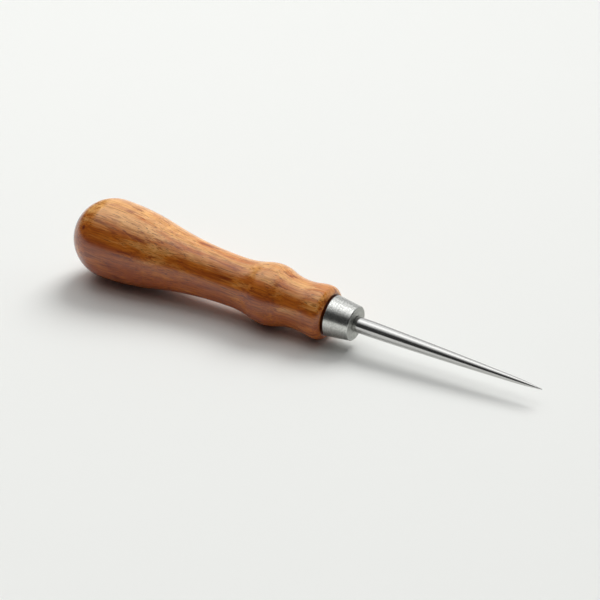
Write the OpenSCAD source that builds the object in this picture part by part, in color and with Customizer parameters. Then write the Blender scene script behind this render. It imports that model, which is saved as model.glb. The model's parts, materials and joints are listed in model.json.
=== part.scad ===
// Scratch awl: a turned wooden handle, a steel ferrule over its tenon, and a
// tapered steel blade whose square tang is bedded in resin in the handle.
//
// Every piece is turned about its own Z axis, which is the tool's axis, with
// z = 0 at the butt of the handle and the point of the blade at the far end.
// lay_down() then puts the tool on its side on the bench, as it comes to rest:
// on the bulb and the bead of the handle, with the point towards +X.

/* [Handle] */
// Butt of the handle to its front face
handle_len = 96.7; // [85:0.1:115]
// Radius of the bulb, which is round at the butt
butt_r = 13.5; // [12:0.1:16.5]
// Radius of the waist
waist_r = 8.25; // [7:0.05:9.4]
// Length of the curve from the waist to the bead
waist_run = 13.2; // [10:0.1:18]
// Radius of the bead
bead_r = 10.1; // [9.6:0.1:11.5]
// Length of the curve from the bead to the neck
bead_run = 11; // [9:0.1:15]
// Radius of the neck, between the bead and the lip
neck_r = 8; // [7.6:0.05:8.4]
// Length of the curve from the neck to the lip
neck_run = 7.4; // [5:0.1:8]
// Radius of the lip around the front of the handle
lip_r = 8.75; // [8.5:0.05:9]
// Length of the round from the lip to the front face
lip_run = 2.6; // [2.2:0.1:3]
// Radius of the front face
face_r = 7.1; // [6.9:0.05:7.4]

/* [Turned curves] */
// Convex share of the curve from bulb to waist
belly_share = 0.4; // [0.25:0.01:0.6]
// Hollow share of the curve from waist to bead
waist_share = 0.69; // [0.4:0.01:0.75]
// Convex share of the curve from bead to neck
crown_share = 0.37; // [0.3:0.01:0.6]
// Hollow share of the curve from neck to lip
neck_share = 0.5; // [0.3:0.01:0.7]

/* [Ferrule] */
// Length of the ferrule, rear edge to front face
ferrule_len = 8.3; // [7:0.1:11]
// Radius of the ferrule at its rear edge
ferrule_r = 6.6; // [6.2:0.05:6.8]
// How much smaller its radius is at the front
ferrule_taper = 1; // [0:0.05:1.1]
// Round around the front face
front_round = 0.45; // [0.2:0.05:0.7]
// Chamfer that breaks the rear edge
rear_chamfer = 0.2; // [0.1:0.05:0.4]
// Thickness of the front wall
front_wall = 1.8; // [1.2:0.1:2.5]
// Thickness of the side wall at the rear edge
side_wall = 1.6; // [1.4:0.05:1.9]
// Countersink at the mouth of the blade's hole
mouth_chamfer = 0.4; // [0.1:0.05:0.8]
// Open groove left between the handle's front face and the ferrule
seat_groove = 0.7; // [0.3:0.1:1.5]

/* [Blade] */
// Front face of the ferrule to the point
blade_len = 61.2; // [45:0.1:90]
// Radius of the shank, the parallel part in front of the ferrule
blade_r = 2.5; // [2.2:0.05:3.2]
// Length of the shank
shank_len = 6; // [3:0.5:12]
// Length of the ground point at the end of the taper
ground_len = 9; // [4:0.5:15]
// Radius of the blade where the ground point begins
ground_r = 0.95; // [0.6:0.05:1.2]
// Radius of the very tip, which is slightly blunt
tip_r = 0.16; // [0.1:0.01:0.4]
// Swell of the taper beyond a straight cone
taper_swell = 0.12; // [0.02:0.01:0.3]
// Swell of the ground point beyond a straight cone
ground_swell = 0.09; // [0.02:0.01:0.15]
// Step from the shank down to the stem, its hidden round part
stem_step = 0.2; // [0.1:0.05:0.3]
// Length of the stem behind the ferrule's front face
stem_len = 16; // [12:0.5:20]
// Length of the square tang behind the stem
tang_len = 44; // [30:1:50]
// How far the tang's corners lie inside the stem
tang_inset = 0.12; // [0.05:0.01:0.3]
// Width of the tang at its end
tang_end_w = 2; // [1.2:0.1:2.2]

/* [Fits] */
// Gap around the tenon in the ferrule, a driven fit
tenon_fit = 0.02; // [0:0.01:0.05]
// Gap between the end of the tenon and the ferrule's front wall
tenon_end_gap = 0.1; // [0.05:0.05:0.5]
// Gap around the stem in the ferrule and in the handle
stem_fit = 0.04; // [0.01:0.01:0.1]
// Depth of the resin bed beyond the end of the tang
bed_end = 1; // [0.5:0.1:2]

/* [Hidden] */
$fn = 96;

arc_steps = 12;        // chords along each turned curve
butt_steps = 24;       // chords along the round butt
drill_angle = 59;      // half angle of a drill's point

lip_at = handle_len - lip_run;
neck_at = lip_at - neck_run;
bead_at = neck_at - bead_run;
waist_at = bead_at - waist_run;
ferrule_at = handle_len + seat_groove;
front_at = ferrule_at + ferrule_len;
point_at = front_at + blade_len;
ferrule_front_r = ferrule_r - ferrule_taper;
bore_r = ferrule_r - side_wall;
tenon_r = bore_r - tenon_fit;
tenon_len = seat_groove + ferrule_len - front_wall - tenon_end_gap;
stem_r = blade_r - stem_step;
hole_r = stem_r + stem_fit;
stem_back = front_at - stem_len;
tang_w = (stem_r - tang_inset) * sqrt(2);
tang_back = stem_back - tang_len;
bed_back = tang_back - bed_end;

// Points of a circle's arc about c, radius r, between two angles in degrees.
function arc(c, r, from, to, steps) =
    [for (i = [1:steps]) let (t = from + (to - from) * i / steps)
        [c[0] + r * cos(t), c[1] + r * sin(t)]];

// An ogee is two arcs that meet with a common slope. It runs level out of one
// point [radius, place] and level into the next, and share says where between
// them it changes from one arc to the other. The radii of the two arcs add up
// to ogee_sum.
function ogee_sum(a, b) =
    (pow(b[1] - a[1], 2) + pow(b[0] - a[0], 2)) / (2 * abs(b[0] - a[0]));
function ogee(a, b, share) =
    let (turn = 2 * atan2(abs(b[0] - a[0]), b[1] - a[1]),
         side = sign(b[0] - a[0]),
         first = share * ogee_sum(a, b),
         second = ogee_sum(a, b) - first)
    concat(
        [for (i = [1:arc_steps]) let (t = turn * i / arc_steps)
            [a[0] + side * first * (1 - cos(t)), a[1] + first * sin(t)]],
        [for (i = [arc_steps - 1:-1:0]) let (t = turn * i / arc_steps)
            [b[0] - side * second * (1 - cos(t)), b[1] - second * sin(t)]]);

// A shallow arc from a to b, whose middle stands out from the straight line by
// swell. A parabola is used, which at this depth is the same curve.
function swelled(a, b, swell) =
    [for (i = [1:arc_steps]) let (u = i / arc_steps)
        a + (b - a) * u + [4 * swell * u * (1 - u), 0]];

bulb = [butt_r, butt_r];
waist = [waist_r, waist_at];
bead = [bead_r, bead_at];
neck = [neck_r, neck_at];
lip = [lip_r, lip_at];

// The lip's round leaves the lip level and ends on the edge of the front face.
lip_turn = 2 * atan2(lip_r - face_r, lip_run);
lip_round = lip_run / sin(lip_turn);

handle_outline = concat(
    [[0, 0]],
    arc([0, butt_r], butt_r, -90, 0, butt_steps),
    ogee(bulb, waist, belly_share),
    ogee(waist, bead, waist_share),
    ogee(bead, neck, crown_share),
    ogee(neck, lip, neck_share),
    arc([lip_r - lip_round, lip_at], lip_round, 0, lip_turn, arc_steps),
    [[0, handle_len]]);

// The bench is the common tangent of two arcs of the outline: the belly of the
// bulb, and the front of the bead or of the lip, whichever meets it first.
// lie_angle is its slope against the axis.
belly_r = belly_share * ogee_sum(bulb, waist);
crown_r = crown_share * ogee_sum(bead, neck);
function lie_on(peak, peak_arc_r) =
    let (rise = belly_r - peak_arc_r - (butt_r - peak[0]),
         run = peak[1] - butt_r)
    asin((belly_r - peak_arc_r) / norm([rise, run])) - atan2(rise, run);
lie_angle = min(lie_on(bead, crown_r), lie_on(lip, lip_round));
axis_height = butt_r * sin(lie_angle) + (butt_r - belly_r) * cos(lie_angle) + belly_r;
butt_x = butt_r * cos(lie_angle) - butt_r;
point_x = (point_at - tip_r) * cos(lie_angle) + tip_r;

module lay_down() {
    translate([-(butt_x + point_x) / 2, 0, axis_height])
        rotate([0, 90 + lie_angle, 0])
            children();
}

// A square bar that tapers evenly from width w1 at z = 0 to w2 at z = len.
module square_taper(w1, w2, len) {
    intersection() {
        taper_slab(w1, w2, len);
        rotate([0, 0, 90]) taper_slab(w1, w2, len);
    }
}

module taper_slab(w1, w2, len) {
    rotate([90, 0, 0])
        linear_extrude(height = 2 * max(w1, w2), center = true)
            polygon([[-w1 / 2, 0], [w1 / 2, 0], [w2 / 2, len], [-w2 / 2, len]]);
}

module tang() {
    translate([0, 0, tang_back])
        square_taper(tang_end_w, tang_w, tang_len);
}

// The hole drilled into the handle, as far forward as z = front.
module drilled_hole(front) {
    drill_tip = hole_r / tan(drill_angle);
    translate([0, 0, bed_back])
        cylinder(r = hole_r, h = front - bed_back);
    translate([0, 0, bed_back - drill_tip])
        cylinder(r1 = 0, r2 = hole_r, h = drill_tip);
}

module handle() {
    color("peru") lay_down() difference() {
        union() {
            rotate_extrude() polygon(handle_outline);
            translate([0, 0, handle_len - lip_run])
                cylinder(r = tenon_r, h = lip_run + tenon_len);
        }
        drilled_hole(front_at);
    }
}

module ferrule() {
    color("silver") lay_down() translate([0, 0, ferrule_at]) rotate_extrude() polygon(concat(
        [[bore_r, 0],
         [ferrule_r - rear_chamfer, 0],
         [ferrule_r, rear_chamfer],
         [ferrule_front_r, ferrule_len - front_round]],
        arc([ferrule_front_r - front_round, ferrule_len - front_round], front_round, 0, 90, 6),
        [[hole_r + mouth_chamfer, ferrule_len],
         [hole_r, ferrule_len - mouth_chamfer],
         [hole_r, ferrule_len - front_wall],
         [bore_r, ferrule_len - front_wall]]));
}

module blade() {
    taper_start = [blade_r, front_at + shank_len];
    ground_start = [ground_r, point_at - ground_len];
    tip_start = [tip_r, point_at - tip_r];
    color("gainsboro") lay_down() union() {
        rotate_extrude() polygon(concat(
            [[0, stem_back], [stem_r, stem_back], [stem_r, front_at]],
            [[blade_r, front_at], taper_start],
            swelled(taper_start, ground_start, taper_swell),
            swelled(ground_start, tip_start, ground_swell),
            arc([0, point_at - tip_r], tip_r, 0, 90, 6)));
        tang();
    }
}

// The cured resin fills the drilled hole around and behind the tang.
module tang_bed() {
    color("wheat") lay_down() difference() {
        drilled_hole(stem_back);
        tang();
    }
}

handle();
ferrule();
blade();
tang_bed();
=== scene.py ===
"""A scratch awl on a pale bench: turned hardwood handle, steel ferrule, polished steel blade.

Every turned piece is an outline of (radius, station) points carried round the tool's axis.
A station is a distance along that axis, forward from the butt of the handle. Lengths are in
metres, and MM turns the sizes that a maker thinks of into metres. The materials measure in
millimetres instead.
"""

import json
import math

import bpy
import numpy as np
from bpy.props import FloatProperty, FloatVectorProperty, PointerProperty
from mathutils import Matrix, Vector


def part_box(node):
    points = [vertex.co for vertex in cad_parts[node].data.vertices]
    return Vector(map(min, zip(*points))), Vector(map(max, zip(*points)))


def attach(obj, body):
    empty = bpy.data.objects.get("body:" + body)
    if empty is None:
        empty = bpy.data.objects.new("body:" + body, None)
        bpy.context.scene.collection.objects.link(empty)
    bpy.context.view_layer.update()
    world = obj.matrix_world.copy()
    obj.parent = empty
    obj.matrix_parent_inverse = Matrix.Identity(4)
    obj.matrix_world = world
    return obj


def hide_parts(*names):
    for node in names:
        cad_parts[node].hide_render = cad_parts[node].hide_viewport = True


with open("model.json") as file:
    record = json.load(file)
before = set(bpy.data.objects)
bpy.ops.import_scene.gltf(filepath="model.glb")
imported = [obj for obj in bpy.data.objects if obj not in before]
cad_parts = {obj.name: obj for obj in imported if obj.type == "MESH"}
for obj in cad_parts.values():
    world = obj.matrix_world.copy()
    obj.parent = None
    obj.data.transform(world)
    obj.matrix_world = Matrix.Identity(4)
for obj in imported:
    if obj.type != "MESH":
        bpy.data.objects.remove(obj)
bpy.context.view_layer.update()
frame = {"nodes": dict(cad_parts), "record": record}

bl_info = {
    "name": "Scratch Awl",
    "version": (1, 0, 0),
    "blender": (4, 5, 0),
    "location": "3D View > Sidebar > Awl",
    "description": "Builds a turned scratch awl around its packed frame",
    "category": "Add Mesh",
}

MM = 0.001
BOX_SLACK = 0.05 * MM  # how far a piece may reach out of its CAD node's box

ROUND = 192  # faces round every turned piece
ARC = 24  # points along each arc of an outline
EASE = 7  # points along an eased corner
FACE_STEP = 0.3 * MM  # between points on the ferrule's front face
SIDE_STEP = 0.4 * MM  # between points on the ferrule's side and the handle's front face
STEP = 1 * MM  # between points on the tenon, the drilled hole and the shank
HIDDEN_STEP = 2 * MM  # between points on the tang and the resin bed
SAME_POINT = 1e-7  # points of an outline that are closer than this are one
SHARP_TURN = math.radians(32)  # an edge that turns by more than this looks sharp
DRILL_HALF_ANGLE = math.radians(59)  # half the point angle of a common twist drill
SAND_WAVE = 23 * MM  # along the handle, from one shallow sanded hollow to the next
SAND_SWELL = 0.6  # how much the hollows deepen and fade, as a share of their mean depth

END_GRAIN_AND_SHADE = (0.5, 7.5)  # stations between which the butt's tint, end grain and painted shade, fades out, millimetres
GROOVE_SHADE_EDGE = (0.2, 0.6)  # from the front face's rim inwards, where the groove's painted shade sets in, millimetres
GROOVE_SHADE_DEPTH = 0.3  # how far behind the front face the groove's painted shade reaches, millimetres
SHADED_SIDE = (0, -0.7, -0.71)  # the direction across the tool, down and towards the camera, in which painted shade darkens the wood
WANDER = (34, 0.7, 0.7)  # how far fibres slide along and stray across, millimetres
KNOT = Vector((8.95, -10.4, 7.35))  # a pin knot on the bulb: station and across, millimetres
KNOT_EDGE = (0.3, 1.1)  # distances from its middle between which it fades out, millimetres

BENCH = 3.0  # from the middle of the bench to each of its sides
LENS, SENSOR = 85, 36  # the camera's focal length and its sensor's width, millimetres
PANELS = (  # the lamps that reflections show: name, middle, and size along X and across it
    ("overhead", (-0.36, 0.13, 0.95), (1.25, 0.6)),
    ("rear", (-0.36, 0.68, 0.95), (1.25, 0.5)),
    ("skirt", (-0.36, -0.32, 0.95), (1.25, 0.3)),
    ("hem", (-0.36, -0.62, 0.95), (1.25, 0.3)),
    ("far", (0.2, 1.1, 0.6), (2.8, 1.3)),
)


# The tool's axis, from the frame

shank = next(mount for mount in frame["record"]["mounts"] if mount["name"] == "shank")
SHANK_R, SHANK_LEN = shank["dims"]["r_mm"] * MM, shank["dims"]["length_mm"] * MM
SHANK_MIDDLE = np.array(shank["pos_m"])
AXIS = np.array(shank["axis"])
ACROSS = np.array([0.0, 1.0, 0.0])
ABOVE = np.cross(AXIS, ACROSS)
LIE_ANGLE = math.atan2(-AXIS[2], AXIS[0])


def stations(node):
    """How far a CAD node's points lie along the axis from the middle of the shank."""
    mesh = frame["nodes"][node].data
    points = np.empty(len(mesh.vertices) * 3)
    mesh.vertices.foreach_get("co", points)
    return (points.reshape(-1, 3) - SHANK_MIDDLE) @ AXIS


BUTT_POINT = SHANK_MIDDLE + stations("handle").min() * AXIS


# Kinds of property


def linear(hex_colour):
    """An sRGB hex colour, such as '#c08040', as linear red, green and blue."""
    srgb = np.array([int(hex_colour[i : i + 2], 16) for i in (1, 3, 5)]) / 255
    return tuple(np.where(srgb <= 0.04045, srgb / 12.92, ((srgb + 0.055) / 1.055) ** 2.4))


def length(name, description, default):
    """A property that is a length in metres."""
    return FloatProperty(
        name=name, description=description, default=default, unit="LENGTH", precision=5
    )


def share(name, description, default):
    """A property that is a share, from 0 to 1."""
    return FloatProperty(
        name=name, description=description, default=default, min=0, max=1, subtype="FACTOR"
    )


def bearing(name, description, degrees):
    """A property that is an angle."""
    return FloatProperty(
        name=name, description=description, default=math.radians(degrees), subtype="ANGLE"
    )


def strength(name, description, default):
    """A property that is a lamp's strength or radiance."""
    return FloatProperty(name=name, description=description, default=default, min=0)


def colour(name, description, hex_colour):
    """A property that is a colour."""
    return FloatVectorProperty(
        name=name,
        description=description,
        default=linear(hex_colour),
        size=3,
        min=0,
        max=1,
        subtype="COLOR",
    )


# Settings


class AwlHandleSettings(bpy.types.PropertyGroup):
    """Sizes and colours of the turned handle."""

    handle_len: length("Length", "Butt to front face", 96.7 * MM)
    butt_r: length("Bulb radius", "Radius of the bulb", 13.5 * MM)
    waist_r: length("Waist radius", "Radius of the waist", 8.25 * MM)
    waist_run: length("Waist run", "Length of the curve from waist to bead", 13.2 * MM)
    bead_r: length("Bead radius", "Radius of the bead", 10.1 * MM)
    bead_run: length("Bead run", "Length of the curve from bead to neck", 11 * MM)
    neck_r: length("Neck radius", "Radius of the neck", 8 * MM)
    neck_run: length("Neck run", "Length of the curve from neck to lip", 7.4 * MM)
    lip_r: length("Lip radius", "Radius of the lip", 8.75 * MM)
    lip_run: length("Lip run", "Length of the round from lip to front face", 2.6 * MM)
    face_r: length("Face radius", "Radius of the front face", 7.1 * MM)
    belly_share: share("Belly share", "Convex share of the curve from bulb to waist", 0.4)
    waist_share: share("Waist share", "Hollow share of the curve from waist to bead", 0.69)
    crown_share: share("Crown share", "Convex share of the curve from bead to neck", 0.37)
    neck_share: share("Neck share", "Hollow share of the curve from neck to lip", 0.5)
    tenon_r: length("Tenon radius", "Radius of the tenon in the ferrule", 4.98 * MM)
    tenon_len: length("Tenon length", "Length of the tenon", 7.1 * MM)
    tenon_ease: length("Tenon ease", "How far the tenon's front edge is eased", 0.3 * MM)
    hole_r: length("Hole radius", "Radius of the drilled hole", 2.34 * MM)
    hole_end: length("Hole end", "Station where the drilled hole ends", 44.7 * MM)
    sand_depth: length("Sanding depth", "Depth of the hand sanding at the sides", 0.09 * MM)
    # These three colours are the grain's tones, and through the shading share also painted light
    # on the top and painted shade below.
    light_wood: colour("Early wood", "The lighter part of each growth ring", "#fcbd70")
    mid_wood: colour("Wood", "The wood between the two", "#d4771e")
    dark_wood: colour("Late wood", "The darker part of each growth ring", "#b45610")
    # Painted shade: how much the wood darkens down towards the camera.
    shading_share: share("Heart share", "How much the wood darkens towards its heart side", 0.3)
    ring_gap: length("Ring gap", "Distance from one growth ring to the next", 2.6 * MM)
    pore_brown: colour("Pores", "The open pores, which hold stain", "#7a3d0e")
    pore_len: length("Pore length", "Length of a pore along the grain", 2.2 * MM)
    pore_w: length("Pore width", "Width of a pore across the grain", 0.18 * MM)
    # The butt tone is partly end grain, which takes more stain, and partly painted shade on the
    # rim turned away from the lamps.
    butt_grain_and_shade_tone: colour("Butt tone", "Tint of the end grain at the butt", "#846a58")
    # The groove tone is painted shade. It darkens the groove's inner face and the tenon, where
    # the ferrule shades them.
    groove_shade_tone: colour("Groove tone", "Tint of the shadowed groove before the ferrule", "#8a6a50")
    knot_tone: colour("Knot tone", "Tint of the pin knot on the bulb", "#a07a64")


class AwlFerruleSettings(bpy.types.PropertyGroup):
    """Sizes and colours of the ferrule."""

    seat_groove: length("Groove", "Open groove between handle and ferrule", 0.7 * MM)
    ferrule_len: length("Length", "Rear edge to front face", 8.3 * MM)
    ferrule_r: length("Rear radius", "Radius at the rear edge", 6.6 * MM)
    front_r: length("Front radius", "Radius at the front, before the round", 5.6 * MM)
    front_round: length("Front round", "Round around the front face", 0.45 * MM)
    rear_chamfer: length("Rear chamfer", "Length of the ease at the rear edge", 0.2 * MM)
    bore_r: length("Bore radius", "Radius of the bore over the tenon", 5 * MM)
    front_wall: length("Front wall", "Thickness of the front wall", 1.8 * MM)
    mouth_r: length("Mouth radius", "Radius of the countersink round the blade", 2.74 * MM)
    steel: colour("Steel", "Colour of the satin steel", "#dddeda")
    mark_gap: length("Mark gap", "Distance between turning marks", 0.25 * MM)


class AwlBladeSettings(bpy.types.PropertyGroup):
    """Sizes and colours of the blade."""

    blade_len: length("Length", "Front face of the ferrule to the point", 61.2 * MM)
    ground_len: length("Ground length", "Length of the ground point", 9 * MM)
    ground_r: length("Ground radius", "Radius where the ground point begins", 0.95 * MM)
    tip_r: length("Tip radius", "Radius of the very tip", 0.16 * MM)
    taper_swell: length("Taper swell", "Swell of the taper beyond a cone", 0.12 * MM)
    ground_swell: length("Point swell", "Swell of the ground point beyond a cone", 0.09 * MM)
    stem_step: length("Stem step", "Step from the shank down to the stem", 0.2 * MM)
    stem_len: length("Stem length", "Length of the hidden round stem", 16 * MM)
    tang_len: length("Tang length", "Length of the square tang", 44 * MM)
    tang_inset: length("Tang inset", "How far the tang's corners lie inside the stem", 0.12 * MM)
    tang_end_w: length("Tang end", "Width of the tang at its end", 2 * MM)
    steel: colour("Steel", "Colour of the polished steel", "#cacac8")
    line_w: length("Line width", "Width of the lengthwise polishing lines", 0.12 * MM)


class AwlBedSettings(bpy.types.PropertyGroup):
    """Looks of the resin that holds the tang."""

    amber: colour("Amber", "Colour of the cured resin", "#c9a45c")
    bubble: length("Bubble", "Distance between trapped bubbles", 0.8 * MM)


class AwlStageSettings(bpy.types.PropertyGroup):
    """The bench, the lamps and the camera."""

    bench: colour("Bench", "Colour of the bench", "#ecedea")
    azimuth: bearing("Azimuth", "Camera's turn round the tool", 31.2207)
    elevation: bearing("Elevation", "Camera's height above the horizon", 28.8958)
    distance: length("Distance", "Camera to the point it looks at", 439.524 * MM)
    aim_x: length("Aim along", "Where the camera looks, along X", 2.2118 * MM)
    aim_z: length("Aim height", "Where the camera looks, above the bench", 10.9628 * MM)
    overhead_light: strength("Overhead light", "Radiance of the panel above the tool", 1.62)
    rear_light: strength("Rear light", "Radiance of the panel beyond the overhead one", 0.68)
    skirt_light: strength("Skirt light", "Radiance of the strip nearer than the overhead", 0.76)
    hem_light: strength("Hem light", "Radiance of the nearest, dim strip", 0.22)
    far_light: strength("Far light", "Radiance of the low panel on the far side", 0.62)
    key_light: strength("Key light", "Strength of the lamp that casts the shadow", 2.07)
    key_height: bearing("Key height", "Height of the key light above the far horizon", 47)
    key_softness: bearing("Key softness", "Angle across the key light, from the tool", 33)
    room_light: strength("Room light", "Radiance of the dim room all round", 0.04)


# Outlines: arrays of (radius, station) points


def arc(centre, radius, start, end):
    """The points centre + radius (cos t, sin t), with t going evenly from start to end."""
    t = np.linspace(start, end, ARC)
    return np.column_stack((centre[0] + radius * np.cos(t), centre[1] + radius * np.sin(t)))


def ogee(a, b, part):
    """Two arcs that meet with a common slope, level at a and level at b. The sum of their
    radii is (run squared + rise squared) / (2 rise), and part is the first one's share."""
    rise, run = b[0] - a[0], b[1] - a[1]
    total = (run**2 + rise**2) / (2 * abs(rise))
    turn = 2 * math.atan2(abs(rise), run)
    side = math.copysign(1, rise)
    t = np.linspace(0, turn, ARC)
    first, second = part * total, (1 - part) * total
    out = np.column_stack((a[0] + side * first * (1 - np.cos(t)), a[1] + first * np.sin(t)))
    t = t[-2::-1]
    back = np.column_stack((b[0] - side * second * (1 - np.cos(t)), b[1] - second * np.sin(t)))
    return np.concatenate((out, back))


def swelled(a, b, swell):
    """The line from a to b, pushed out by the parabola 4 swell u (1 - u)."""
    u = np.linspace(0, 1, 2 * ARC)[:, None]
    return np.array(a) * (1 - u) + np.array(b) * u + 4 * swell * u * (1 - u) * np.array([1, 0])


def eased(before, corner, after, radius):
    """The corner between two straight lines, rounded by a quadratic curve that touches both
    and whose ends lie radius away from the corner."""
    before, corner, after = np.array(before), np.array(corner), np.array(after)
    near = corner + radius * (before - corner) / np.linalg.norm(before - corner)
    far = corner + radius * (after - corner) / np.linalg.norm(after - corner)
    u = np.linspace(0, 1, EASE)[:, None]
    return near * (1 - u) ** 2 + 2 * corner * u * (1 - u) + far * u**2


def straight(a, b, step):
    """Even points on the line from a to b, at most step apart, without its two ends."""
    a, b = np.array(a), np.array(b)
    count = int(np.linalg.norm(b - a) / step) + 1
    return a + (b - a) * (np.arange(1, count) / count)[:, None]


def outline(*parts):
    """One array of points from single points and arrays, with repeated points left out."""
    points = np.concatenate([np.atleast_2d(part) for part in parts])
    gap = np.linalg.norm(np.diff(points, axis=0), axis=1)
    return points[np.concatenate(([True], gap > SAME_POINT))]


# Meshes and objects


def turned(points, closed, square=None, worn=None):
    """Points and faces of an outline carried round the axis. Column j of the grid lies at the
    angle 2 pi j / ROUND, row i at outline point i: butt + station * axis + radius * spoke.
    square is true where a row's section is a square instead, whose radius is its half width
    over the larger of |cos| and |sin|. worn is how deep each row is sanded: the depth goes
    with the angle's squared cosine, so it is nothing above and below and most at the sides,
    and swells and fades along the piece. A row of radius 0 is a pole, and becomes one point."""
    angle = 2 * np.pi * np.arange(ROUND) / ROUND
    spokes = np.cos(angle)[:, None] * ACROSS + np.sin(angle)[:, None] * ABOVE
    radius = np.repeat(points[:, :1], ROUND, axis=1)
    if square is not None:
        flat = 1 / np.maximum(abs(np.cos(angle)), abs(np.sin(angle)))
        radius = np.where(square[:, None], radius * flat, radius)
    if worn is not None:
        wave = 1 + SAND_SWELL * np.sin(2 * np.pi * points[:, 1:] / SAND_WAVE + 2 * angle)
        radius = radius - worn[:, None] * np.cos(angle) ** 2 * wave
    places = BUTT_POINT + points[:, 1, None, None] * AXIS + radius[:, :, None] * spokes
    rows = len(points)
    index = np.arange(rows * ROUND).reshape(rows, ROUND)
    pole = points[:, 0] < SAME_POINT
    index[pole] = index[pole][:, :1]
    if closed:
        index = np.concatenate((index, index[:1]))
    turn = np.roll(index, -1, axis=1)
    quads = np.stack((index[:-1], turn[:-1], turn[1:], index[1:]), axis=2).reshape(-1, 4)
    return places.reshape(-1, 3), quads


def tidy_faces(places, quads):
    """Drops the points that no face uses, and turns a quad with two equal corners into a
    triangle. Returns points and a list of faces."""
    used, renamed = np.unique(quads, return_inverse=True)
    quads = renamed.reshape(-1, 4)
    first = quads[:, 0] == quads[:, 1]
    second = quads[:, 2] == quads[:, 3]
    faces = quads[~(first | second)].tolist()
    faces += quads[first][:, [0, 2, 3]].tolist()
    faces += quads[second & ~first][:, [0, 1, 2]].tolist()
    return places[used], faces


def fresh_object(name, data):
    """A new object in the scene, in place of an older one of that name."""
    old = bpy.data.objects.get(name)
    if old is not None:
        bpy.data.objects.remove(old)
    made = bpy.data.objects.new(name, data)
    bpy.context.scene.collection.objects.link(made)
    return made


def place_piece(name, node, places, quads, material):
    """Makes the piece that stands for a CAD node, and checks that it lies in the node's box."""
    low, high = (np.array(corner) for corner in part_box(node))
    places, faces = tidy_faces(places, quads)
    out = max((low - places.min(0)).max(), (places.max(0) - high).max())
    if out > BOX_SLACK:
        raise RuntimeError(f"{name} reaches {out / MM:.3f} mm outside the box of {node}")
    mesh = bpy.data.meshes.new(name)
    mesh.from_pydata(places.tolist(), [], faces)
    mesh.shade_smooth()
    mesh.set_sharp_from_angle(angle=SHARP_TURN)
    mesh.materials.append(material)
    piece = fresh_object(name, mesh)
    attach(piece, "root")
    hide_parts(node)


# Materials


def add(tree, kind, inputs=None, stops=(), **settings):
    """Adds a node. inputs names its sockets, by name or number: another node's output is
    linked to it, and a plain value is set on it. stops are a colour ramp's (place, colour)
    pairs, in rising order."""
    made = tree.nodes.new(kind)
    for name, value in settings.items():
        setattr(made, name, value)
    for name, value in (inputs or {}).items():
        if isinstance(value, bpy.types.NodeSocket):
            tree.links.new(value, made.inputs[name])
        else:
            made.inputs[name].default_value = value
    for number, (place, rgb) in enumerate(stops):
        elements = made.color_ramp.elements
        element = elements[number] if number < 2 else elements.new(place)
        element.position = place
        element.color = (*rgb, 1)
    return made


def grey(level):
    """A grey, for ramps that carry a number."""
    return (level, level, level)


def fresh_material(name):
    """A node material with an empty tree, in place of an older one of that name."""
    old = bpy.data.materials.get(name)
    if old is not None:
        bpy.data.materials.remove(old)
    material = bpy.data.materials.new(name)
    material.use_nodes = True
    material.node_tree.nodes.clear()
    return material, material.node_tree


def tool_place(tree):
    """Object coordinates turned to the tool, in millimetres: X is the station, and Y and Z
    lie across."""
    return add(
        tree,
        "ShaderNodeMapping",
        {
            "Vector": add(tree, "ShaderNodeTexCoord").outputs["Object"],
            "Location": BUTT_POINT,
            "Rotation": (0, LIE_ANGLE, 0),
            "Scale": (MM, MM, MM),
        },
        vector_type="TEXTURE",
    ).outputs[0]


def station_and_radius(tree, place):
    """How far a place lies along the tool, and how far from its axis, in millimetres."""
    station = add(tree, "ShaderNodeSeparateXYZ", {0: place}).outputs["X"]
    across = add(
        tree, "ShaderNodeVectorMath", {0: place, 1: (0, 1, 1)}, operation="MULTIPLY"
    ).outputs[0]
    radius = add(tree, "ShaderNodeVectorMath", {0: across}, operation="LENGTH").outputs["Value"]
    return station, radius


def wood_patterns(tree, s, place):
    """The hardwood's noises by name, each from 0 to 1. Each fibre is slid along by its own
    amount, and the grain strays a little across, so that no two streaks begin level."""
    slide = add(
        tree,
        "ShaderNodeMapping",
        {"Vector": place, "Scale": (0.03, 1.1, 1.1), "Location": (3, 1, 2)},
    ).outputs[0]
    wander = add(
        tree, "ShaderNodeTexNoise", {"Vector": slide, "Scale": 1, "Detail": 2}
    ).outputs["Color"]
    grain = add(
        tree,
        "ShaderNodeVectorMath",
        {0: wander, 1: WANDER, 2: place},
        operation="MULTIPLY_ADD",
    ).outputs[0]
    ring = MM / s.ring_gap
    # A pore takes up about half of one cell of its noise.
    pore_along, pore_across = 0.5 * MM / s.pore_len, 0.5 * MM / s.pore_w
    patterns = {}
    # Each row: the name, the coordinates, blotches per millimetre, a shift, and the detail.
    for name, where, scale, shift, detail in (
        ("figure", grain, (0.05, ring, ring), (5, 2, 0), 4),
        ("fibre", grain, (0.18, 1.8, 1.8), (0, 7, 0), 4),
        ("curl", place, (0.22, 0.1, 0.1), (9, 4, 1), 2),
        ("smudge", grain, (0.14, 0.5, 0.5), (4, 8, 3), 4),
        ("pore", grain, (pore_along, pore_across, pore_across), (0, 0, 11), 1),
        ("gloss", place, (0.1, 0.3, 0.3), (0, 0, 0), 3),
    ):
        spread = add(
            tree, "ShaderNodeMapping", {"Vector": where, "Scale": scale, "Location": shift}
        ).outputs[0]
        patterns[name] = add(
            tree, "ShaderNodeTexNoise", {"Vector": spread, "Scale": 1, "Detail": detail}
        ).outputs["Fac"]
    return patterns


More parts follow.
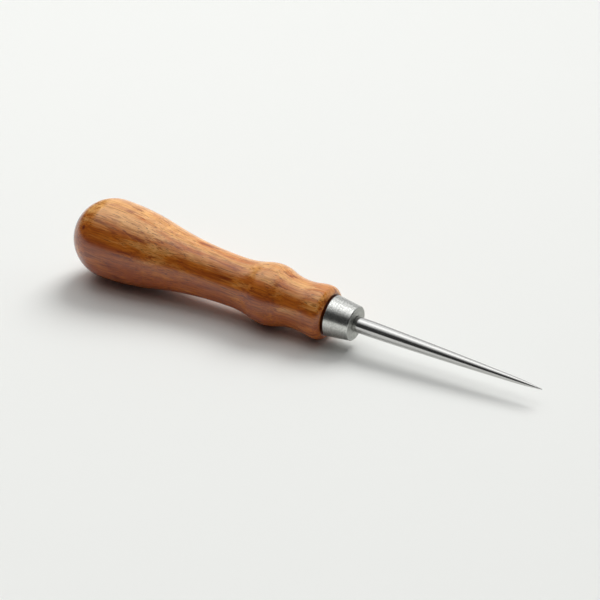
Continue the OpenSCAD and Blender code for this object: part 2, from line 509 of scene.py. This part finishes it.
def wood_spots(tree, s, place):
    """Where the butt's end grain and its painted shade, the groove's painted shade before the
    ferrule and the pin knot lie, each from 0 outside to 1 inside."""
    station, radius = station_and_radius(tree, place)
    # The butt's tint: end grain, and painted shade on the rim turned away from the lamps.
    butt_end = add(
        tree,
        "ShaderNodeMapRange",
        {"Value": station, "From Min": END_GRAIN_AND_SHADE[1], "From Max": END_GRAIN_AND_SHADE[0]},
        interpolation_type="SMOOTHSTEP",
    ).outputs["Result"]
    # Painted shade in the groove: the inner part of the handle's front face, and the tenon.
    in_front = add(
        tree,
        "ShaderNodeMath",
        {0: station, 1: s.handle_len / MM - GROOVE_SHADE_DEPTH},
        operation="GREATER_THAN",
    ).outputs[0]
    rim = s.face_r / MM
    inside = add(
        tree,
        "ShaderNodeMapRange",
        {"Value": radius, "From Min": rim - GROOVE_SHADE_EDGE[0], "From Max": rim - GROOVE_SHADE_EDGE[1]},
    ).outputs["Result"]
    groove = add(
        tree, "ShaderNodeMath", {0: in_front, 1: inside}, operation="MULTIPLY"
    ).outputs[0]
    from_knot = add(
        tree, "ShaderNodeVectorMath", {0: place, 1: KNOT}, operation="DISTANCE"
    ).outputs["Value"]
    knot = add(
        tree,
        "ShaderNodeMapRange",
        {"Value": from_knot, "From Min": KNOT_EDGE[1], "From Max": KNOT_EDGE[0]},
        interpolation_type="SMOOTHSTEP",
    ).outputs["Result"]
    return butt_end, groove, knot


def varnished_hardwood(s):
    """Open-pored hardwood, turned, sanded and varnished. The eye sees warm streaks along the
    grain, short dark pores, a faint curl across the grain, and a soft uneven gloss. Its colour
    also holds painted light on the top, and painted shade below, in the groove and partly at the
    butt."""
    material, tree = fresh_material("varnished_hardwood")
    place = tool_place(tree)
    patterns = wood_patterns(tree, s, place)
    butt_end, groove, knot = wood_spots(tree, s, place)
    # Painted light and shade: the wood is lighter on top and darker down towards the camera, with
    # the growth rings' figure laid over it.
    depth = add(
        tree, "ShaderNodeVectorMath", {0: place, 1: SHADED_SIDE}, operation="DOT_PRODUCT"
    ).outputs["Value"]
    shaded = add(
        tree,
        "ShaderNodeMath",
        {0: depth, 1: s.shading_share * MM / s.butt_r, 2: patterns["figure"]},
        operation="MULTIPLY_ADD",
    ).outputs[0]
    wood = add(
        tree,
        "ShaderNodeValToRGB",
        {0: shaded},
        stops=[(0.3, s.light_wood), (0.54, s.mid_wood), (0.76, s.dark_wood)],
    ).outputs[0]
    tints = []
    # Each row: a pattern, and the tint that it gives up to one level and loses at the next.
    for name, low, tint, high in (
        ("fibre", 0.36, (0.74, 0.63, 0.48), 0.54),
        ("curl", 0.34, (0.84, 0.76, 0.68), 0.6),
        ("smudge", 0.34, (0.56, 0.4, 0.24), 0.44),
    ):
        ramp = add(
            tree, "ShaderNodeValToRGB", {0: patterns[name]}, stops=[(low, tint), (high, grey(1))]
        )
        tints.append((1, ramp.outputs[0]))
    # The butt's end grain, darkened further by painted shade.
    tints.append((butt_end, (*s.butt_grain_and_shade_tone, 1)))
    # Painted shade in the groove before the ferrule.
    tints.append((groove, (*s.groove_shade_tone, 1)))
    tints.append((knot, (*s.knot_tone, 1)))
    for factor, tint in tints:
        wood = add(
            tree,
            "ShaderNodeMix",
            {0: factor, 6: wood, 7: tint},
            data_type="RGBA",
            blend_type="MULTIPLY",
        ).outputs[2]
    open_pore = add(
        tree,
        "ShaderNodeValToRGB",
        {0: patterns["pore"]},
        stops=[(0.63, grey(0)), (0.72, grey(0.85))],
    ).outputs[0]
    wood = add(
        tree,
        "ShaderNodeMix",
        {0: open_pore, 6: wood, 7: (*s.pore_brown, 1)},
        data_type="RGBA",
    ).outputs[2]
    bump = add(
        tree,
        "ShaderNodeBump",
        {"Height": open_pore, "Strength": 0.3, "Distance": 0.06 * MM},
        invert=True,
    ).outputs[0]
    rough = add(
        tree,
        "ShaderNodeValToRGB",
        {0: patterns["gloss"]},
        stops=[(0.35, grey(0.42)), (0.65, grey(0.55))],
    ).outputs[0]
    shader = add(
        tree,
        "ShaderNodeBsdfPrincipled",
        {
            "Base Color": wood,
            "Roughness": rough,
            "Normal": bump,
            "IOR": 1.5,
            "Specular IOR Level": 0.05,
            "Coat Weight": 1,
            "Coat Roughness": 0.21,
            "Coat IOR": 1.62,
        },
    )
    add(tree, "ShaderNodeOutputMaterial", {"Surface": shader.outputs[0]})
    return material


def satin_steel(s, front_at):
    """Mild steel, turned on a lathe, brushed round and tumbled. The eye sees fine rings round
    the axis, a faint speckle, and soft light and dark bands along the piece. The front face
    is rougher, and its colour is darker."""
    material, tree = fresh_material("satin_turned_steel")
    place = tool_place(tree)
    station, radius = station_and_radius(tree, place)
    walk = add(tree, "ShaderNodeMath", {0: station, 1: radius}, operation="ADD").outputs[0]
    marks = add(
        tree,
        "ShaderNodeTexNoise",
        {"W": walk, "Scale": MM / s.mark_gap, "Detail": 2},
        noise_dimensions="1D",
    ).outputs["Fac"]
    haze = add(
        tree, "ShaderNodeTexNoise", {"Vector": place, "Scale": 0.3, "Detail": 3}
    ).outputs["Fac"]
    grit = add(
        tree, "ShaderNodeTexNoise", {"Vector": place, "Scale": 2.2, "Detail": 3}
    ).outputs["Fac"]
    front = front_at / MM
    face = add(
        tree, "ShaderNodeMapRange", {"Value": station, "From Min": front - 0.2, "From Max": front}
    ).outputs["Result"]
    side = add(
        tree, "ShaderNodeValToRGB", {0: haze}, stops=[(0.3, grey(0.23)), (0.7, grey(0.28))]
    ).outputs[0]
    rough = add(
        tree, "ShaderNodeMix", {0: face, 6: side, 7: (0.5, 0.5, 0.5, 1)}, data_type="RGBA"
    ).outputs[2]
    lines = add(
        tree, "ShaderNodeValToRGB", {0: marks}, stops=[(0.3, grey(0.9)), (0.7, grey(1))]
    ).outputs[0]
    speckle = add(
        tree, "ShaderNodeValToRGB", {0: grit}, stops=[(0.4, grey(0.76)), (0.58, grey(1))]
    ).outputs[0]
    tone = (*s.steel, 1)
    for factor, shade in ((1, lines), (1, speckle), (face, (0.72, 0.72, 0.71, 1))):
        tone = add(
            tree,
            "ShaderNodeMix",
            {0: factor, 6: tone, 7: shade},
            data_type="RGBA",
            blend_type="MULTIPLY",
        ).outputs[2]
    bump = add(
        tree,
        "ShaderNodeBump",
        {"Height": marks, "Strength": 0.3, "Distance": 0.01 * MM},
    ).outputs[0]
    shader = add(
        tree,
        "ShaderNodeBsdfPrincipled",
        {"Base Color": tone, "Metallic": 1, "Roughness": rough, "Normal": bump},
    )
    add(tree, "ShaderNodeOutputMaterial", {"Surface": shader.outputs[0]})
    return material


def polished_steel(s):
    """Tool steel, drawn, ground to a point and polished lengthwise. The eye sees sharp
    bands along the blade, with faint lines that run with them."""
    material, tree = fresh_material("polished_tool_steel")
    fine = MM / s.line_w
    strokes = add(
        tree, "ShaderNodeMapping", {"Vector": tool_place(tree), "Scale": (0.08, fine, fine)}
    ).outputs[0]
    lines = add(
        tree, "ShaderNodeTexNoise", {"Vector": strokes, "Scale": 1, "Detail": 2}
    ).outputs["Fac"]
    rough = add(
        tree, "ShaderNodeValToRGB", {0: lines}, stops=[(0.3, grey(0.13)), (0.7, grey(0.2))]
    ).outputs[0]
    bump = add(
        tree,
        "ShaderNodeBump",
        {"Height": lines, "Strength": 0.1, "Distance": 0.004 * MM},
    ).outputs[0]
    shader = add(
        tree,
        "ShaderNodeBsdfPrincipled",
        {"Base Color": (*s.steel, 1), "Metallic": 1, "Roughness": rough, "Normal": bump},
    )
    add(tree, "ShaderNodeOutputMaterial", {"Surface": shader.outputs[0]})
    return material


def cured_resin(s):
    """Amber resin, poured and cured. The eye sees a glossy honey colour, clouded by small
    trapped bubbles."""
    material, tree = fresh_material("cured_resin")
    cloud = add(
        tree,
        "ShaderNodeTexNoise",
        {"Vector": tool_place(tree), "Scale": MM / s.bubble, "Detail": 3},
    ).outputs["Fac"]
    tone = add(
        tree,
        "ShaderNodeValToRGB",
        {0: cloud},
        stops=[(0.3, tuple(0.6 * c for c in s.amber)), (0.7, s.amber)],
    ).outputs[0]
    shader = add(
        tree,
        "ShaderNodeBsdfPrincipled",
        {"Base Color": tone, "Roughness": 0.25, "IOR": 1.55},
    )
    add(tree, "ShaderNodeOutputMaterial", {"Surface": shader.outputs[0]})
    return material


# What two pieces share


def ferrule_front(scene):
    """The station of the ferrule's front face."""
    ferrule = scene.awl_ferrule
    return scene.awl_handle.handle_len + ferrule.seat_groove + ferrule.ferrule_len


def drill_tip(handle):
    """The station that the drill's point reached, behind the straight part of the hole."""
    return handle.hole_end - handle.hole_r / math.tan(DRILL_HALF_ANGLE)


def tang_outline(scene):
    """The square tang, from the middle of its end to the edge where it meets the stem."""
    s = scene.awl_blade
    stem_back = ferrule_front(scene) - s.stem_len
    tang_back = stem_back - s.tang_len
    end = (s.tang_end_w / 2, tang_back)
    root = ((SHANK_R - s.stem_step - s.tang_inset) / math.sqrt(2), stem_back)
    return outline((0, tang_back), end, straight(end, root, HIDDEN_STEP), root)


# Operators


class AWL_OT_handle(bpy.types.Operator):
    """Turn the handle, with its tenon and its drilled hole"""

    bl_idname = "awl.handle"
    bl_label = "Handle"

    def execute(self, context):
        s = context.scene.awl_handle
        lip = (s.lip_r, s.handle_len - s.lip_run)
        neck = (s.neck_r, lip[1] - s.neck_run)
        bead = (s.bead_r, neck[1] - s.bead_run)
        waist = (s.waist_r, bead[1] - s.waist_run)
        lip_turn = 2 * math.atan2(s.lip_r - s.face_r, s.lip_run)
        lip_round = s.lip_run / math.sin(lip_turn)
        face_edge = (s.face_r, s.handle_len)
        tenon_root = (s.tenon_r, s.handle_len)
        tenon_front = (s.tenon_r, s.handle_len + s.tenon_len)
        hole_front = (s.hole_r, s.handle_len + s.tenon_len)
        hole_back = (s.hole_r, s.hole_end)
        outside = outline(
            (0, 0),
            arc((0, s.butt_r), s.butt_r, -math.pi / 2, 0),
            ogee((s.butt_r, s.butt_r), waist, s.belly_share),
            ogee(waist, bead, s.waist_share),
            ogee(bead, neck, s.crown_share),
            ogee(neck, lip, s.neck_share),
            arc((s.lip_r - lip_round, lip[1]), lip_round, 0, lip_turn),
        )
        inside = outline(
            straight(face_edge, tenon_root, SIDE_STEP),
            tenon_root,
            straight(tenon_root, tenon_front, STEP),
            eased(tenon_root, tenon_front, hole_front, s.tenon_ease),
            hole_front,
            straight(hole_front, hole_back, STEP),
            hole_back,
            (0, drill_tip(s)),
        )
        worn = s.sand_depth * np.sin(np.pi * outside[:, 1] / s.handle_len).clip(0)
        worn = np.concatenate((worn, np.zeros(len(inside))))
        places, quads = turned(np.concatenate((outside, inside)), closed=False, worn=worn)
        wood = varnished_hardwood(s)
        place_piece("turned_handle", "handle", places, quads, wood)
        return {"FINISHED"}


class AWL_OT_ferrule(bpy.types.Operator):
    """Turn the ferrule, a steel cap with a bore behind and the blade's hole in front"""

    bl_idname = "awl.ferrule"
    bl_label = "Ferrule"

    def execute(self, context):
        s = context.scene.awl_ferrule
        hole_r = context.scene.awl_handle.hole_r
        front = ferrule_front(context.scene)
        rear = front - s.ferrule_len
        floor = front - s.front_wall
        ease = s.rear_chamfer / 2
        bore_edge = (s.bore_r, rear)
        rear_edge = (s.ferrule_r - ease, rear)
        side = (s.ferrule_r, rear + s.rear_chamfer)
        shoulder = (s.front_r, front - s.front_round)
        face_r = s.front_r - s.front_round
        shape = outline(
            bore_edge,
            eased(bore_edge, rear_edge, side, ease),
            side,
            straight(side, shoulder, SIDE_STEP),
            arc((face_r, shoulder[1]), s.front_round, 0, math.pi / 2),
            straight((face_r, front), (s.mouth_r, front), FACE_STEP),
            (s.mouth_r, front),
            (hole_r, front - (s.mouth_r - hole_r)),
            (hole_r, floor),
            (s.bore_r, floor),
        )
        places, quads = turned(shape, closed=True)
        steel = satin_steel(s, front)
        place_piece("steel_ferrule", "ferrule", places, quads, steel)
        return {"FINISHED"}


class AWL_OT_blade(bpy.types.Operator):
    """Make the blade: square tang, round stem, shank, taper and ground point"""

    bl_idname = "awl.blade"
    bl_label = "Blade"

    def execute(self, context):
        s = context.scene.awl_blade
        front = ferrule_front(context.scene)
        stem_r = SHANK_R - s.stem_step
        shank_back = (SHANK_R, front)
        shank_front = (SHANK_R, front + SHANK_LEN)
        ground = (s.ground_r, front + s.blade_len - s.ground_len)
        tip_at = front + s.blade_len - s.tip_r
        tang = tang_outline(context.scene)
        shaft = outline(
            (stem_r, front - s.stem_len),
            (stem_r, front),
            shank_back,
            straight(shank_back, shank_front, STEP),
            swelled(shank_front, ground, s.taper_swell),
            swelled(ground, (s.tip_r, tip_at), s.ground_swell),
            arc((0, tip_at), s.tip_r, 0, math.pi / 2),
        )
        shape = np.concatenate((tang, shaft))
        square = np.arange(len(shape)) < len(tang)
        places, quads = turned(shape, closed=False, square=square)
        steel = polished_steel(s)
        place_piece("polished_blade", "blade", places, quads, steel)
        return {"FINISHED"}


class AWL_OT_tang_bed(bpy.types.Operator):
    """Cast the resin bed that fills the drilled hole around the square tang"""

    bl_idname = "awl.tang_bed"
    bl_label = "Resin bed"

    def execute(self, context):
        handle = context.scene.awl_handle
        socket = tang_outline(context.scene)[::-1]
        hole_back = (handle.hole_r, handle.hole_end)
        brim = (handle.hole_r, socket[0, 1])
        cast = outline(
            (0, drill_tip(handle)), hole_back, straight(hole_back, brim, HIDDEN_STEP), brim
        )
        shape = np.concatenate((cast, socket))
        square = np.arange(len(shape)) >= len(cast)
        places, quads = turned(shape, closed=False, square=square)
        resin = cured_resin(context.scene.awl_bed)
        place_piece("resin_bed", "tang_bed", places, quads, resin)
        return {"FINISHED"}


def lay_bench(s):
    """A flat square of bench, level with the tool's lowest point."""
    mesh = bpy.data.meshes.new("bench")
    mesh.from_pydata(
        [(-BENCH, -BENCH, 0), (BENCH, -BENCH, 0), (BENCH, BENCH, 0), (-BENCH, BENCH, 0)],
        [],
        [(0, 1, 2, 3)],
    )
    material, tree = fresh_material("matt_bench")
    shader = add(
        tree, "ShaderNodeBsdfPrincipled", {"Base Color": (*s.bench, 1), "Roughness": 0.9}
    )
    add(tree, "ShaderNodeOutputMaterial", {"Surface": shader.outputs[0]})
    mesh.materials.append(material)
    bench = fresh_object("bench", mesh)


def hang_panel(name, place, size, radiance):
    """A rectangular lamp that faces the tool. Its power is pi * area * radiance."""
    lamp = bpy.data.lights.new(name, "AREA")
    lamp.shape = "RECTANGLE"
    lamp.size, lamp.size_y = size
    lamp.energy = math.pi * size[0] * size[1] * radiance
    panel = fresh_object(name, lamp)
    panel.location = place
    panel.rotation_euler = (-math.atan2(place[1], place[2]), 0, 0)


def hang_key(s):
    """A distant soft lamp over the far side, so that the bench is lit evenly. It stays out
    of reflections, which show only the panels."""
    lamp = bpy.data.lights.new("key", "SUN")
    lamp.energy = s.key_light
    lamp.angle = s.key_softness
    key = fresh_object("key", lamp)
    key.rotation_euler = (s.key_height - math.pi / 2, 0, 0)
    key.visible_glossy = False


def dim_room(s):
    """An even white world, far dimmer than the lamps."""
    world = bpy.data.worlds.get("studio") or bpy.data.worlds.new("studio")
    world.use_nodes = True
    background = world.node_tree.nodes["Background"]
    background.inputs["Color"].default_value = (1, 1, 1, 1)
    background.inputs["Strength"].default_value = s.room_light
    bpy.context.scene.world = world


def set_camera(s):
    """A camera at an azimuth, an elevation and a distance from the point it looks at."""
    level = math.cos(s.elevation)
    back = Vector(
        (math.sin(s.azimuth) * level, -math.cos(s.azimuth) * level, math.sin(s.elevation))
    )
    lens = bpy.data.cameras.new("camera")
    lens.lens = LENS
    lens.sensor_width = SENSOR
    camera = fresh_object("camera", lens)
    camera.location = Vector((s.aim_x, 0, s.aim_z)) + s.distance * back
    camera.rotation_euler = (-back).to_track_quat("-Z", "Y").to_euler()
    bpy.context.scene.camera = camera


class AWL_OT_stage(bpy.types.Operator):
    """Lay out the bench, the lamps and the camera"""

    bl_idname = "awl.stage"
    bl_label = "Stage"

    def execute(self, context):
        s = context.scene.awl_stage
        lay_bench(s)
        for name, place, size in PANELS:
            hang_panel(name, place, size, getattr(s, f"{name}_light"))
        hang_key(s)
        dim_room(s)
        set_camera(s)
        context.scene.view_settings.view_transform = "Standard"
        return {"FINISHED"}


class VIEW3D_PT_awl(bpy.types.Panel):
    """The awl's pieces and their settings."""

    bl_label = "Scratch Awl"
    bl_space_type = "VIEW_3D"
    bl_region_type = "UI"
    bl_category = "Awl"

    def draw(self, context):
        for operator, settings in PIECES:
            box = self.layout.box()
            box.operator(operator.bl_idname)
            group = getattr(context.scene, settings)
            for name in group.bl_rna.properties.keys():
                if name not in ("rna_type", "name"):
                    box.prop(group, name)


SETTINGS = {
    "awl_handle": AwlHandleSettings,
    "awl_ferrule": AwlFerruleSettings,
    "awl_blade": AwlBladeSettings,
    "awl_bed": AwlBedSettings,
    "awl_stage": AwlStageSettings,
}
PIECES = (
    (AWL_OT_stage, "awl_stage"),
    (AWL_OT_handle, "awl_handle"),
    (AWL_OT_ferrule, "awl_ferrule"),
    (AWL_OT_blade, "awl_blade"),
    (AWL_OT_tang_bed, "awl_bed"),
)


def register():
    """Registers the classes and puts the settings on the scene."""
    for name, group in SETTINGS.items():
        bpy.utils.register_class(group)
        setattr(bpy.types.Scene, name, PointerProperty(type=group))
    for operator, _ in PIECES:
        bpy.utils.register_class(operator)
    bpy.utils.register_class(VIEW3D_PT_awl)


def unregister():
    """Takes the classes and the settings away again."""
    bpy.utils.unregister_class(VIEW3D_PT_awl)
    for operator, _ in reversed(PIECES):
        bpy.utils.unregister_class(operator)
    for name, group in reversed(SETTINGS.items()):
        delattr(bpy.types.Scene, name)
        bpy.utils.unregister_class(group)


def main():
    register()
    bpy.ops.awl.stage()
    bpy.ops.awl.handle()
    bpy.ops.awl.ferrule()
    bpy.ops.awl.blade()
    bpy.ops.awl.tang_bed()


if __name__ == "__main__":
    main()
